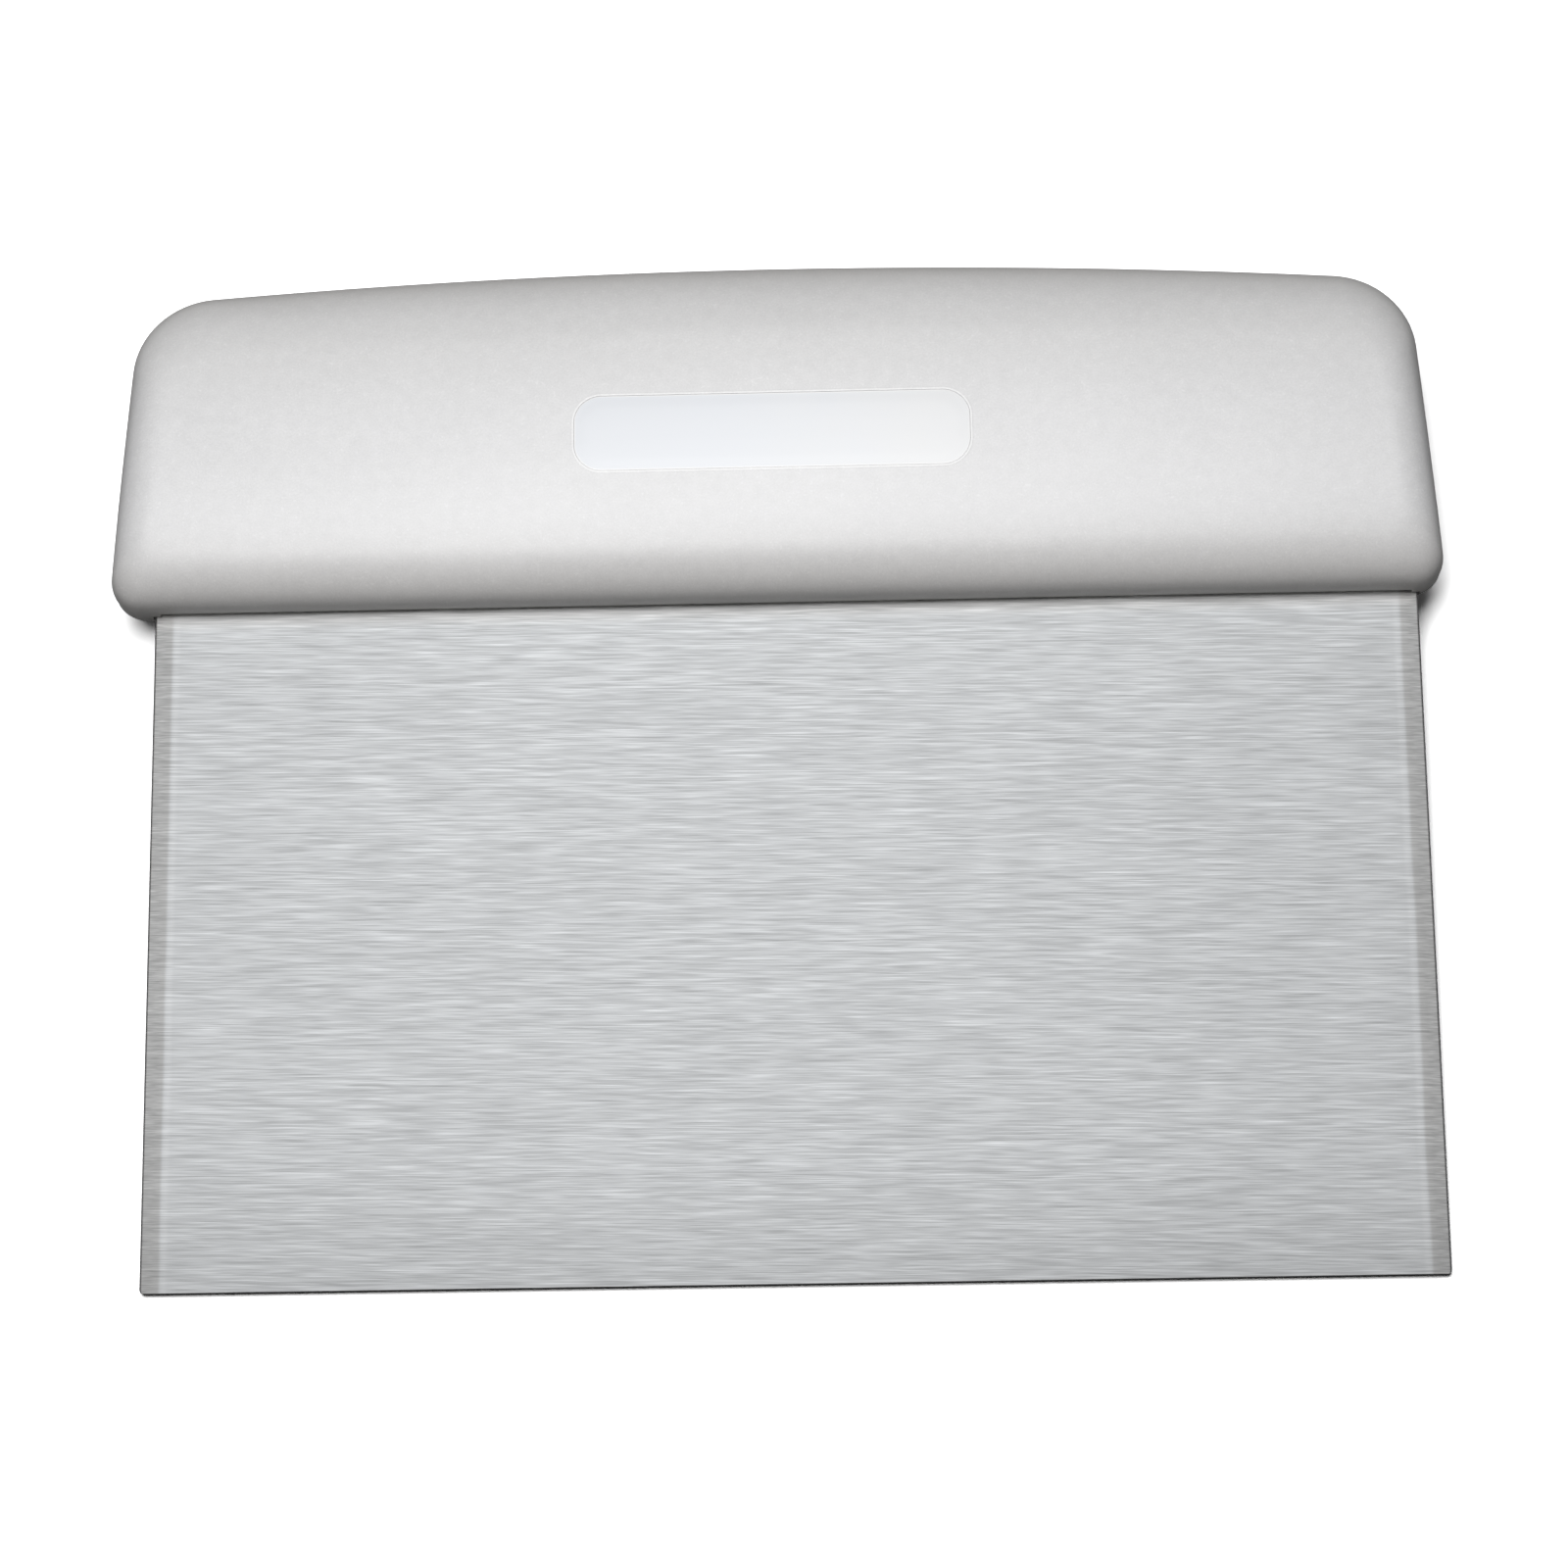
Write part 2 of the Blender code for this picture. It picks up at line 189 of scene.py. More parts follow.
# Painted shade round the parting line
PARTING_SHADE_FADE = (0.0010, 0.0080)  # in front of the parting plane
SPECKLE = {"scale": 4200, "detail": 2.0, "roughness": 0.6}
SPECKLE_SWING = 0.20
MOTTLE = {"scale": 700, "detail": 3.0}
MOTTLE_SWING = 0.11
PLASTIC_CLOUD = {"scale": 60, "detail": 3.0}
PLASTIC_CLOUD_SWING = 0.06
GLINT = {"scale": 2900, "detail": 0.0}
GLINT_FADE = (0.68, 0.80)  # values of that noise
GLINT_LIGHT = 0.06
PLASTIC_ROUGHNESS = 0.32
SPECKLE_ROUGHENS = 0.12
MOTTLE_BUMP_SHARE = 0.8
PLASTIC_BUMP_STRENGTH = 0.30
PLASTIC_BUMP_HEIGHT = 0.00003
PLASTIC_IOR = 1.49

# Label gloss
LABEL_COOL = (0.788, 0.810, 0.846)
LABEL_WARM = (0.823, 0.830, 0.838)
WARM_FADE = (-0.01, LABEL_WIDTH / 2)
WARM_SWING = 0.02
# Painted highlight along the label plate's edge
RIM_HIGHLIGHT_FADE = (-0.00025, -0.00008)  # from the label's outline
LABEL_CLOUD = {"scale": 130, "detail": 2.0}
LABEL_CLOUD_SWING = 0.02
LABEL_ROUGHNESS = 0.31
CLOUD_ROUGHENS = 0.03
LABEL_IOR = 1.5

# Camera: where the blade is in its view, fitted to the blade's four corners in the photo
CAMERA_TURN = Euler([math.radians(a) for a in (-12.963, -1.381, 1.060)], "XYZ")
CAMERA_OFFSET = (0.000034, 0.021430, -0.473451)
CAMERA_LENS = 90.0
CAMERA_SENSOR = 36.0

# Table and light
TABLE_SIZE = 6.0
TABLE_DROP = 0.00003  # it lies this far below the scraper, so that no faces coincide
TABLE_ALBEDO = 0.08
TABLE_SEEN = 2.4  # in the camera, so that the open table is plain white and its shadows are narrow
TABLE_REFLECTED = 0.5
TABLE_GLOW_FADE = (0.10, 0.22)  # from its middle, it grows white by itself as the lamp falls off
WORLD_STRENGTH = 0.02
LAMP_PLACE = (-0.035, 0.035, 0.49)
LAMP_SIZE = (0.32, 0.22)
LAMP_POWER = 2.15
WHITE = (1, 1, 1, 1)

LYING = Matrix.Translation(LYING_OFFSET) @ Matrix.Rotation(LYING_TILT, 4, "X")
SHIFTED = Matrix.Translation((BLADE_SHIFT, 0, 0))
BLADE_PLACE = LYING @ SHIFTED


# Node helpers


def node(tree, kind, inputs=None, **settings):
    """A new node; inputs are values or sockets by name or number."""
    made = tree.nodes.new(kind)
    for name, value in settings.items():
        setattr(made, name, value)
    for key, value in (inputs or {}).items():
        if isinstance(value, bpy.types.NodeSocket):
            tree.links.new(value, made.inputs[key])
        else:
            made.inputs[key].default_value = value
    return made


def calc(tree, operation, a, b=0.0):
    return node(tree, "ShaderNodeMath", {0: a, 1: b}, operation=operation).outputs[0]


def product(tree, factors):
    """All the factors multiplied, in their order."""
    total = factors[0]
    for factor in factors[1:]:
        total = calc(tree, "MULTIPLY", total, factor)
    return total


def add_share(tree, start, value, share):
    """The start plus a share of the value."""
    return calc(tree, "ADD", start, calc(tree, "MULTIPLY", value, share))


def blend(tree, share, a, b):
    """Colour a where share is 0, colour b where it is 1."""
    a, b = [(*colour, 1.0) if isinstance(colour, tuple) else colour for colour in (a, b)]
    return node(tree, "ShaderNodeMix", {0: share, 6: a, 7: b}, data_type="RGBA").outputs[2]


def step_between(tree, value, first, last):
    """0 at first and 1 at last, smooth between and level beyond, whichever of them is larger."""
    made = node(
        tree,
        "ShaderNodeMapRange",
        {"Value": value, "From Min": first, "From Max": last},
        interpolation_type="SMOOTHSTEP",
    )
    return made.outputs[0]


def noise(tree, vector, scale=1.0, detail=2.0, roughness=0.5):
    made = node(
        tree,
        "ShaderNodeTexNoise",
        {"Vector": vector, "Scale": scale, "Detail": detail, "Roughness": roughness},
    )
    return made.outputs[0]


def swing(tree, value, amount, middle=0.0):
    """Turns a noise value, centred on a half, into one centred on middle."""
    made = node(
        tree,
        "ShaderNodeMath",
        {0: calc(tree, "SUBTRACT", value, 0.5), 1: amount, 2: middle},
        operation="MULTIPLY_ADD",
    )
    return made.outputs[0]


def stretch(tree, vector, scale):
    return node(tree, "ShaderNodeMapping", {"Vector": vector, "Scale": scale}).outputs[0]


def peak(tree, value, middle, reach):
    """1 at the middle, falling smoothly to 0 at the reach on both sides."""
    away = calc(tree, "ABSOLUTE", calc(tree, "SUBTRACT", value, middle))
    return step_between(tree, away, reach, 0.0)


def label_distance(tree, x, y):
    """How far outside the label's outline a point of the handle lies, in plan."""
    beyond = []
    for value, middle, half in (
        (x, 0.0, LABEL_WIDTH / 2),
        (y, LABEL_CENTRE_HEIGHT, LABEL_HEIGHT / 2),
    ):
        away = calc(tree, "ABSOLUTE", calc(tree, "SUBTRACT", value, middle))
        inner = calc(tree, "SUBTRACT", away, half - LABEL_CORNER_RADIUS)
        beyond.append(calc(tree, "MAXIMUM", inner, 0.0))
    corner = node(tree, "ShaderNodeCombineXYZ", {0: beyond[0], 1: beyond[1]}).outputs[0]
    length = node(tree, "ShaderNodeVectorMath", {0: corner}, operation="LENGTH").outputs["Value"]
    return calc(tree, "SUBTRACT", length, LABEL_CORNER_RADIUS)


def new_material(name, place):
    """A material, its node tree and shader, and the point on the piece as it is drawn flat."""
    made = bpy.data.materials.new(name)
    made.use_nodes = True
    tree = made.node_tree
    flat = node(
        tree,
        "ShaderNodeMapping",
        {
            "Vector": node(tree, "ShaderNodeTexCoord").outputs["Object"],
            "Location": place.to_translation(),
            "Rotation": place.to_euler(),
        },
        vector_type="TEXTURE",
    )
    return made, tree, tree.nodes["Principled BSDF"], flat.outputs[0]


def set_surface(tree, shader, colour, shade, roughness):
    """The colour times the shade, and the roughness."""
    made = node(tree, "ShaderNodeVectorMath", {0: colour, "Scale": shade}, operation="SCALE")
    tree.links.new(made.outputs[0], shader.inputs["Base Color"])
    tree.links.new(roughness, shader.inputs["Roughness"])


def set_bump(tree, shader, grain, strength, height):
    bump = node(
        tree, "ShaderNodeBump", {"Strength": strength, "Distance": height, "Height": grain}
    )
    tree.links.new(bump.outputs[0], shader.inputs["Normal"])


# Materials


def brushed_steel():
    finish, tree, shader, place = new_material("brushed_stainless", BLADE_PLACE)
    x, y, z = node(tree, "ShaderNodeSeparateXYZ", {0: place}).outputs

    wave = noise(tree, stretch(tree, place, GRAIN_WAVE_SCALE))
    grain_height = calc(tree, "ADD", y, swing(tree, wave, GRAIN_WAVE_SWING))
    grain_height = add_share(tree, grain_height, x, GRAIN_LEAN)
    bent = node(tree, "ShaderNodeCombineXYZ", {0: x, 1: grain_height, 2: z}).outputs[0]
    layers = []
    swings = []
    for along, across, detail, amount in STREAKS:
        streaks = stretch(tree, bent, (along, across, across))
        layer = noise(tree, streaks, detail=detail, roughness=STREAK_ROUGHNESS)
        layers.append(layer)
        swings.append(swing(tree, layer, amount, 1.0))
    cloud = noise(tree, stretch(tree, place, STEEL_CLOUD_SCALE))
    towards_edge = step_between(tree, y, *TOWARDS_EDGE_FADE)
    swings.append(swing(tree, cloud, STEEL_CLOUD_SWING, 1.0))
    swings.append(swing(tree, towards_edge, -TOWARDS_EDGE_LOSS, 1.0 - TOWARDS_EDGE_LOSS / 2))
    shade = product(tree, swings)

    from_middle = calc(tree, "ABSOLUTE", x)
    side = calc(tree, "ADD", from_middle, swing(tree, cloud, BAND_SWING))
    band = step_between(tree, side, *BAND_FADE)
    # a painted highlight along the band's inner side
    fringe_highlight = peak(tree, side, FRINGE_HIGHLIGHT_LINE, FRINGE_HIGHLIGHT_REACH)
    # painted light next to the handle's lip
    painted_lip_light = step_between(tree, y, *LIP_LIGHT_FADE)
    colour = STEEL_FLAT
    for share, tone in (
        # the ground band: its own finish, darkened further as painted reflection
        (band, STEEL_BAND_FINISH_AND_SHADE),
        (calc(tree, "MULTIPLY", fringe_highlight, FRINGE_HIGHLIGHT_SHARE), STEEL_FRINGE_HIGHLIGHT),
        (calc(tree, "MULTIPLY", painted_lip_light, LIP_LIGHT_SHARE), STEEL_LIP_PAINTED_LIGHT),
        # painted shade along the sides
        (step_between(tree, from_middle, *SIDE_LINE_SHADE_FADE), STEEL_SIDE_PAINTED_SHADE),
        # painted shade on the scraping edge
        (step_between(tree, y, *SCRAPING_EDGE_SHADE_FADE), STEEL_SCRAPING_EDGE_SHADE),
    ):
        colour = blend(tree, share, colour, tone)

    broad, middle, _ = layers
    roughness = add_share(tree, STEEL_ROUGHNESS, broad, STREAKS_ROUGHEN)
    roughness = add_share(tree, roughness, band, BAND_ROUGHENS)
    set_surface(tree, shader, colour, shade, roughness)
    grain = add_share(tree, middle, broad, BROAD_BUMP_SHARE)
    set_bump(tree, shader, grain, STEEL_BUMP_STRENGTH, STEEL_BUMP_HEIGHT)
    shader.inputs["Metallic"].default_value = 1.0
    return finish


def moulded_plastic():
    finish, tree, shader, place = new_material("white_handle_plastic", LYING)
    x, y, z = node(tree, "ShaderNodeSeparateXYZ", {0: place}).outputs
    speckle = noise(tree, place, **SPECKLE)
    mottle = noise(tree, place, **MOTTLE)
    cloud = noise(tree, place, **PLASTIC_CLOUD)
    glints = step_between(tree, noise(tree, place, **GLINT), *GLINT_FADE)
    swings = (
        swing(tree, speckle, SPECKLE_SWING, 1.0),
        swing(tree, mottle, MOTTLE_SWING, 1.0),
        swing(tree, cloud, PLASTIC_CLOUD_SWING, 1.0),
    )
    shade = add_share(tree, product(tree, swings), glints, GLINT_LIGHT)
    # Painted shade by the lip and near the top, round the middle's own colour
    colour = blend(tree, step_between(tree, y, *LOW_SHADE_FADE), PLASTIC_LOW_PAINTED_SHADE, PLASTIC_MIDDLE)
    colour = blend(tree, step_between(tree, y, *HIGH_SHADE_FADE), colour, PLASTIC_HIGH_PAINTED_SHADE)
    # painted shade round the parting line
    colour = blend(tree, step_between(tree, z, *PARTING_SHADE_FADE), PLASTIC_PARTING_PAINTED_SHADE, colour)
    # painted highlight on the bead's crest
    rim = peak(tree, label_distance(tree, x, y), BEAD_HALF_WIDTH - CUT_INTO_BEAD, BEAD_HALF_WIDTH)
    colour = blend(tree, rim, colour, RIM_HIGHLIGHT)
    roughness = add_share(tree, PLASTIC_ROUGHNESS, speckle, SPECKLE_ROUGHENS)
    set_surface(tree, shader, colour, shade, roughness)
    grain = add_share(tree, speckle, mottle, MOTTLE_BUMP_SHARE)
    set_bump(tree, shader, grain, PLASTIC_BUMP_STRENGTH, PLASTIC_BUMP_HEIGHT)
    shader.inputs["IOR"].default_value = PLASTIC_IOR
    return finish


def label_gloss():
    finish, tree, shader, place = new_material("white_label_plate", LYING)
    x, y, _ = node(tree, "ShaderNodeSeparateXYZ", {0: place}).outputs
    cloud = noise(tree, place, **LABEL_CLOUD)
    along = calc(tree, "ADD", x, swing(tree, cloud, WARM_SWING))
    colour = blend(tree, step_between(tree, along, *WARM_FADE), LABEL_COOL, LABEL_WARM)
    # a painted highlight along the plate's edge
    rim = step_between(tree, label_distance(tree, x, y), *RIM_HIGHLIGHT_FADE)
    colour = blend(tree, rim, colour, RIM_HIGHLIGHT)
    shade = swing(tree, cloud, LABEL_CLOUD_SWING, 1.0)
    roughness = add_share(tree, LABEL_ROUGHNESS, cloud, CLOUD_ROUGHENS)
    set_surface(tree, shader, colour, shade, roughness)
    shader.inputs["IOR"].default_value = LABEL_IOR
    return finish


# Shapes


def add_piece(name, bm, finish=None):
    """Turns a bmesh into an object, as it is drawn."""
    bmesh.ops.recalc_face_normals(bm, faces=bm.faces)
    mesh = bpy.data.meshes.new(name)
    bm.to_mesh(mesh)
    bm.free()
    if finish is not None:
        mesh.materials.append(finish)
    piece = bpy.data.objects.new(name, mesh)
    bpy.context.scene.collection.objects.link(piece)
    return piece


def combine(piece, other, operation):
    """Adds the other's shape to the piece or takes it out, for good, and removes the other."""
    boolean = piece.modifiers.new(other.name, "BOOLEAN")
    boolean.operation = operation
    boolean.object = other
    bpy.context.view_layer.update()
    settle(piece)
    bpy.data.objects.remove(other, do_unlink=True)


def settle(piece):
    """Makes what the modifiers give the piece's own mesh."""
    evaluated = piece.evaluated_get(bpy.context.evaluated_depsgraph_get())
    mesh = bpy.data.meshes.new_from_object(evaluated)
    piece.modifiers.clear()
    piece.data = mesh
    mesh.name = piece.name


def lay_down(piece, place):
    """Moves the finished piece into the frame, and shades it smooth.

    It comes last, because the cuts come out clean only on the flat drawing.
    """
    piece.data.transform(place)
    piece.data.shade_smooth()
    piece.data.set_sharp_from_angle(angle=SMOOTH_ANGLE)
    weighted = piece.modifiers.new("face_weighted_normals", "WEIGHTED_NORMAL")
    weighted.keep_sharp = True


def prism(outline, low, high):
    """A closed solid over an outline in XY, from height low to height high."""
    bm = bmesh.new()
    base = bm.faces.new([bm.verts.new((x, y, low)) for x, y in outline])
    lifted = bmesh.ops.extrude_face_region(bm, geom=[base])["geom"]
    verts = [item for item in lifted if isinstance(item, bmesh.types.BMVert)]
    bmesh.ops.translate(bm, verts=verts, vec=(0, 0, high - low))
    return bm


def join_rings(bm, below, above):
    """A closed strip of faces between two rings of points."""
    for i in range(len(below)):
        j = (i + 1) % len(below)
        bm.faces.new((below[i], below[j], above[j], above[i]))


def arc(centre, radius, start, end, steps):
    angles = [start + (end - start) * i / steps for i in range(steps + 1)]
    return [(centre[0] + radius * math.cos(a), centre[1] + radius * math.sin(a)) for a in angles]


def rounded_rectangle(centre, width, height, radius):
    """Outline of a rectangle with round corners, anticlockwise from its lower right corner."""
    points = []
    for quarter, (side_x, side_y) in enumerate([(1, -1), (1, 1), (-1, 1), (-1, -1)]):
        corner = (
            centre[0] + side_x * (width / 2 - radius),
            centre[1] + side_y * (height / 2 - radius),
        )
        start = math.pi / 2 * (quarter - 1)
        points += arc(corner, radius, start, start + math.pi / 2, CORNER_STEPS)
    return points


def blade_cutter(name, bm):
    """Something drawn on the blade, shifted as the blade is in its handle."""
    bm.transform(SHIFTED)
    return add_piece(name, bm)


def lock_cylinders(radius, half_height):
    last = BLADE_WIDTH / 2 - LOCK_MARGIN
    pitch = 2 * last / (LOCK_COUNT - 1)
    bm = bmesh.new()
    for i in range(LOCK_COUNT):
        bmesh.ops.create_cone(
            bm,
            cap_ends=True,
            segments=CIRCLE_SIDES,
            radius1=radius,
            radius2=radius,
            depth=2 * half_height,
            matrix=Matrix.Translation((-last + pitch * i, LOCK_LINE, 0)),
        )
    return bm


def blade_outline(low, grow):
    """Blade and narrower tang in plan, from height low upwards and larger all round by grow."""
    side = BLADE_WIDTH / 2 + grow
    tang_side = side - TANG_INSET
    shoulder = SHOULDER_DEPTH + grow
    lower = (side - BLADE_CORNER_RADIUS, low + BLADE_CORNER_RADIUS)
    upper = (tang_side - TANG_CORNER_RADIUS, TANG_DEPTH + grow - TANG_CORNER_RADIUS)
    right = arc(lower, BLADE_CORNER_RADIUS, -math.pi / 2, 0, CORNER_STEPS)
    right += [(side, shoulder), (tang_side, shoulder)]
    right += arc(upper, TANG_CORNER_RADIUS, 0, math.pi / 2, CORNER_STEPS)
    return right + [(-x, y) for x, y in reversed(right)]


def relief(share):
    """Depth of the ground band at a share of its width: a soft start, and straight from there."""
    slope = RELIEF_DEPTH / (1 - RELIEF_SOFT_SHARE / 2)
    if share < RELIEF_SOFT_SHARE:
        return slope * share**2 / (2 * RELIEF_SOFT_SHARE)
    return slope * (share - RELIEF_SOFT_SHARE / 2)


def build_blade():
    half_thickness = BLADE_THICKNESS / 2
    bm = prism(blade_outline(-BLADE_EXPOSED, 0.0), -half_thickness, half_thickness)
    cuts = [((0, 0, 0), (0, 1, 0))]
    for i in range(EDGE_STEPS + 1):
        reach = FLAT_HALF_WIDTH + RELIEF_WIDTH * RELIEF_SOFT_SHARE * i / EDGE_STEPS
        cuts += [((side * reach, 0, 0), (1, 0, 0)) for side in (-1, 1)]
    for point, normal in cuts:
        geometry = bm.verts[:] + bm.edges[:] + bm.faces[:]
        bmesh.ops.bisect_plane(bm, geom=geometry, plane_co=point, plane_no=normal)
    for vert in bm.verts:
        into_side = max(0.0, abs(vert.co.x) - FLAT_HALF_WIDTH) / RELIEF_WIDTH
        into_tang = max(0.0, vert.co.y) / TANG_DEPTH
        vert.co.z -= math.copysign(relief(into_side) + TANG_TAPER * into_tang, vert.co.z)
    blade = add_piece("blade_sheet", bm, brushed_steel())
    bevel = blade.modifiers.new("edge_rounding", "BEVEL")
    bevel.width = BLADE_EDGE_ROUNDING
    bevel.segments = BEVEL_STEPS
    bevel.limit_method = "ANGLE"
    bevel.angle_limit = BEVEL_ANGLE
    holes = add_piece("lock_holes", lock_cylinders(LOCK_HOLE_RADIUS, BLADE_THICKNESS))
    combine(blade, holes, "DIFFERENCE")
    lay_down(blade, BLADE_PLACE)
    return blade


def handle_half_outline():
    """Right half of the handle's outline, from the middle of its bottom to the middle of its top.

    Each point comes with how far along the ridge line, from its middle 0 to its end 1, it belongs.
    """
    lower = Vector((HANDLE_HALF_WIDTH - LOWER_CORNER_RADIUS, LOWER_CORNER_RADIUS))
    side_normal = Vector((math.cos(SIDE_LEAN), math.sin(SIDE_LEAN)))
    side_along = Vector((-math.sin(SIDE_LEAN), math.cos(SIDE_LEAN)))
    arch_centre = Vector((0, HANDLE_HEIGHT - TOP_ARCH_RADIUS))
    # The upper corner's circle touches the leaning side and, from inside, the top arch.
    reach = side_normal.dot(lower) + LOWER_CORNER_RADIUS - UPPER_CORNER_RADIUS
    start = side_normal * reach - arch_centre
    half = side_along.dot(start)
    inner_radius = TOP_ARCH_RADIUS - UPPER_CORNER_RADIUS
    step = -half + math.sqrt(half**2 + inner_radius**2 - start.length_squared)
    upper = side_normal * reach + side_along * step
    arch_start = math.atan2(upper.y - arch_centre.y, upper.x)

    bottom = [(lower.x * i / FLAT_STEPS, 0.0) for i in range(FLAT_STEPS)]
    lower_arc = arc(lower, LOWER_CORNER_RADIUS, -math.pi / 2, SIDE_LEAN, CORNER_STEPS)
    upper_arc = arc(upper, UPPER_CORNER_RADIUS, SIDE_LEAN, arch_start, CORNER_STEPS)
    foot = Vector(lower_arc[-1])
    rise = Vector(upper_arc[0]) - foot
    side = [tuple(foot + rise * i / SIDE_STEPS) for i in range(1, SIDE_STEPS)]
    top = arc(arch_centre, TOP_ARCH_RADIUS, arch_start, math.pi / 2, FLAT_STEPS)[1:]
    shares = [i / FLAT_STEPS for i in range(FLAT_STEPS)]
    corner_points = lower_arc + side + upper_arc
    return list(
        zip(
            bottom + corner_points + top,
            shares + [1.0] * len(corner_points) + shares[::-1],
        )
    )


def crown(x, y):
    """How far the front bulges over a point: an arch across the handle, the same all along it."""
    span = RIDGE_HEIGHT
    if y > RIDGE_HEIGHT:
        top = HANDLE_HEIGHT - TOP_ARCH_RADIUS + math.sqrt(TOP_ARCH_RADIUS**2 - x**2)
        span = top - RIDGE_HEIGHT
    return HANDLE_CROWN * (1 - ((y - RIDGE_HEIGHT) / span) ** 2)


def handle_rings(has_band):
    """The rings of points on one side of the parting plane, up to the ridge line.

    Each is its height on the parting line, how far round the rounding and how far across the broad
    face it is, and how far it stands proud.
    """
    rings = [
        (PARTING_HALF_HEIGHT / 2, None, 0.0, PARTING_PROUD * PARTING_SHOULDER),
        (PARTING_HALF_HEIGHT, None, 0.0, 0.0),
    ]
    first = 0 if has_band else 1
    rings += [
        (0.0, math.pi / 2 * i / ROUNDING_STEPS, 0.0, 0.0) for i in range(first, ROUNDING_STEPS)
    ]
    rings += [(0.0, math.pi / 2, i / CROWN_STEPS, 0.0) for i in range(CROWN_STEPS + 1)]
    return rings


def handle_body():
    """The handle's outer form: every ring is the outline drawn in towards a straight ridge line."""
    half = handle_half_outline()
    outline = half + [((-x, y), -share) for (x, y), share in half[-2:0:-1]]
    outward = []
    for i in range(len(outline)):
        before = Vector(outline[i - 1][0])
        after = Vector(outline[(i + 1) % len(outline)][0])
        along = (after - before).normalized()
        outward.append(Vector((along.y, -along.x)))
    bm = bmesh.new()

    def ring(half_section, height, turn, across, proud):
        face_sign, bands, fullness = half_section
        verts = []
        for (point, share), out in zip(outline, outward):
            drawn_in, z = 0.0, height
            if turn is not None:
                upward = point[1] / HANDLE_HEIGHT
                power = 2 / (fullness[0] + (fullness[1] - fullness[0]) * upward)
                rounded = 1 - max(0.0, math.cos(turn)) ** power
                drawn_in = ROUNDED_SHARE * rounded + (1 - ROUNDED_SHARE) * across
            inner = Vector(point).lerp((RIDGE_HALF_LENGTH * share, RIDGE_HEIGHT), drawn_in)
            if turn is not None:
                band = bands[0] + (bands[1] - bands[0]) * upward
                face_height = HANDLE_THICKNESS / 2 - HANDLE_CROWN + crown(*inner)
                z = band + (face_height - band) * math.sin(turn) ** power
            verts.append(bm.verts.new((*(inner + out * proud), face_sign * z)))
        return verts

    front_half = (1, (LOWER_BAND, UPPER_BAND), (LOWER_FULLNESS, UPPER_FULLNESS))
    back_half = (-1, (0.0, 0.0), (BACK_FULLNESS, BACK_FULLNESS))
    parting = ring(front_half, 0.0, None, 0.0, PARTING_PROUD)
    for half_section in (front_half, back_half):
        below = parting
        for level in handle_rings(half_section is front_half):
            above = ring(half_section, *level)
            join_rings(bm, below, above)
            below = above
    bmesh.ops.remove_doubles(bm, verts=bm.verts, dist=MERGE_DISTANCE)
    return bm


def label_outline(grow):
    return rounded_rectangle(
        (0, LABEL_CENTRE_HEIGHT),
        LABEL_WIDTH + 2 * grow,
        LABEL_HEIGHT + 2 * grow,
        LABEL_CORNER_RADIUS + grow,
    )


def front_height(surface, x, y):
    """Height of the handle's front, before anything is cut into it."""
    return surface.ray_cast(Vector((x, y, HANDLE_THICKNESS)), Vector((0, 0, -1)))[0].z


def label_bead(surface):
    """A low raised bead round the label's recess, following the handle's front and rooted in it."""
    sections = [(0.0, -BEAD_ROOT)]
    for i in range(1, BEAD_STEPS):
        turn = math.pi * i / BEAD_STEPS
        sections.append((BEAD_HALF_WIDTH * (1 - math.cos(turn)), BEAD_HEIGHT * math.sin(turn)))
    sections.append((2 * BEAD_HALF_WIDTH, -BEAD_ROOT))
    bm = bmesh.new()
    rings = []
    for grow, rise in sections:
        ring = []
        for x, y in label_outline(grow - CUT_INTO_BEAD):
            ring.append(bm.verts.new((x, y, front_height(surface, x, y) + rise)))
        rings.append(ring)
    for below, above in zip(rings, rings[1:] + rings[:1]):
        join_rings(bm, below, above)
    return bm


def build_handle(surface):
    handle = add_piece("handle_moulding", handle_body(), moulded_plastic())
    combine(handle, add_piece("bead", label_bead(surface)), "UNION")

    half_gap = BLADE_THICKNESS / 2 + SLOT_CLEARANCE
    slot = blade_cutter(
        "tang_slot", prism(blade_outline(-CUT_PAST, SLOT_CLEARANCE), -half_gap, half_gap)
    )
    posts = lock_cylinders(LOCK_HOLE_RADIUS - SLOT_CLEARANCE, BLADE_THICKNESS)
    combine(slot, blade_cutter("lock_posts", posts), "DIFFERENCE")
    combine(handle, slot, "DIFFERENCE")

    mouth_outline = rounded_rectangle(
        (0, (MOUTH_DEPTH - CUT_PAST) / 2),
        BLADE_WIDTH - 2 * MOUTH_END_MARGIN,
        MOUTH_DEPTH + CUT_PAST,
        MOUTH_CORNER_RADIUS,
    )
    mouth = prism(mouth_outline, 0.0, BLADE_THICKNESS / 2 + MOUTH_HEIGHT)
    combine(handle, blade_cutter("mouth", mouth), "DIFFERENCE")

    recess_floor = HANDLE_THICKNESS / 2 - LABEL_THICKNESS - LABEL_SEAM
    recess = prism(label_outline(0.0), recess_floor, HANDLE_THICKNESS / 2 + CUT_PAST)
    combine(handle, add_piece("label_recess", recess), "DIFFERENCE")
    lay_down(handle, LYING)
    return handle


